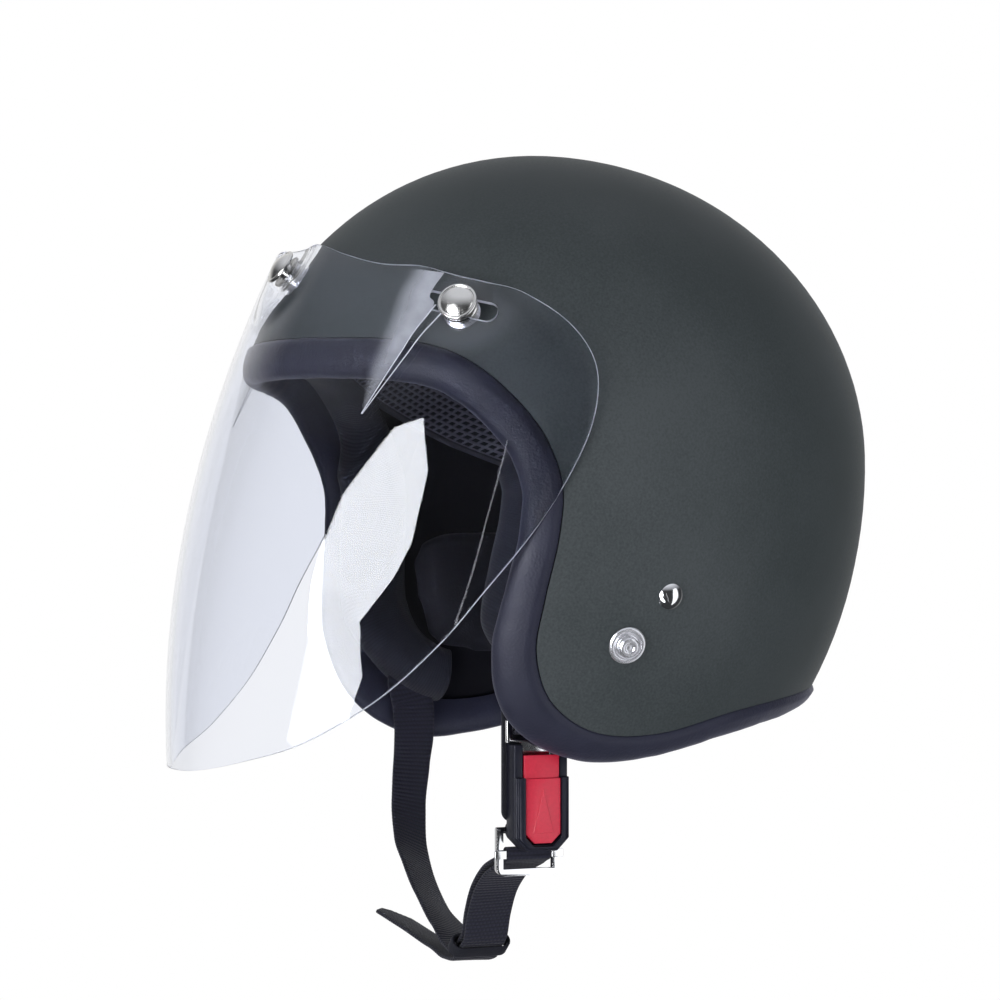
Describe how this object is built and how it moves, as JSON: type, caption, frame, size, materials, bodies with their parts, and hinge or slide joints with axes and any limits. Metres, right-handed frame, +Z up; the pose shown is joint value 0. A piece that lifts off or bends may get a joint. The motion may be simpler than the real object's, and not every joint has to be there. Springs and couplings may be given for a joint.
{
  "type": "open face motorcycle helmet",
  "caption": "Open face helmet: moulded shell with foam liner, pads and edge trim, clear shield on brow snaps, and a chin strap with a one-touch buckle.",
  "frame": {"origin": "centre of the shell's dome, where the wearer's head sits", "axes": "+X to the wearer's left, -Y forward, +Z up"},
  "size_m": [0.244, 0.292, 0.3242],
  "materials": {
    "shell_paint": "matte dark olive grey paint",
    "impact_foam": "black expanded foam",
    "pad_fabric": "black brushed lining fabric",
    "trim_leather": "black soft leather-like trim, satin",
    "clear_shield": "clear polycarbonate, polished",
    "snap_metal": "satin nickel plate",
    "inner_steel": "zinc plated steel",
    "rivet_chrome": "polished chrome plate",
    "webbing": "black ribbed webbing",
    "flap_fabric": "black quilted fabric",
    "buckle_plastic": "black moulded plastic, satin",
    "button_red": "red moulded plastic, satin gloss"
  },
  "bodies": {
    "helmet": {"outer_shell": "shell_paint", "impact_liner": "impact_foam", "crown_pad": "pad_fabric", "head_band": "pad_fabric", "left_cheek_pad": "pad_fabric", "right_cheek_pad": "pad_fabric", "neck_pad": "pad_fabric", "edge_trim": "trim_leather", "brow_snap_studs": "snap_metal", "side_snap_studs": "snap_metal", "stud_posts": "inner_steel", "strap_rivets": "rivet_chrome", "rivet_bushes": "inner_steel", "anchor_plates": "inner_steel", "left_strap": "webbing", "right_strap": "webbing", "chin_flap": "flap_fabric", "tongue": "rivet_chrome"},
    "shield": {"shield": "clear_shield", "snap_sockets": "snap_metal", "snap_caps": "snap_metal"},
    "buckle": {"buckle_base": "buckle_plastic", "buckle_cover": "buckle_plastic", "latch_plate": "inner_steel", "button_spring": "inner_steel", "strap_keeper": "buckle_plastic"},
    "button": {"release_button": "button_red"},
    "adjuster": {"adjuster_frame": "rivet_chrome"},
    "bar": {"adjuster_bar": "rivet_chrome"}
  },
  "joints": [
    {"name": "shield_pull", "type": "slide", "parent": "helmet", "child": "shield", "axis": [0, -0.7547, 0.6561], "range_m": [0, 0.15]},
    {"name": "buckle_release", "type": "slide", "parent": "helmet", "child": "buckle", "axis": [0, 0, -1], "range_m": [0, 0.034], "deforming": ["right_strap"]},
    {"name": "button_press", "type": "slide", "parent": "buckle", "child": "button", "axis": [-1, 0, 0], "range_m": [0, 0.0016], "stiffness_N_per_m": 400, "springref_m": -0.002, "deforming": ["button_spring"]},
    {"name": "adjuster_swing", "type": "hinge", "parent": "buckle", "child": "adjuster", "pos_m": [0.0619, -0.0305, -0.1415], "axis": [0, 1, 0], "range_deg": [-20, 25], "deforming": ["right_strap"]},
    {"name": "bar_slide", "type": "slide", "parent": "adjuster", "child": "bar", "axis": [0, 0, 1], "range_m": [0, 0.003], "deforming": ["right_strap"]}
  ]
}
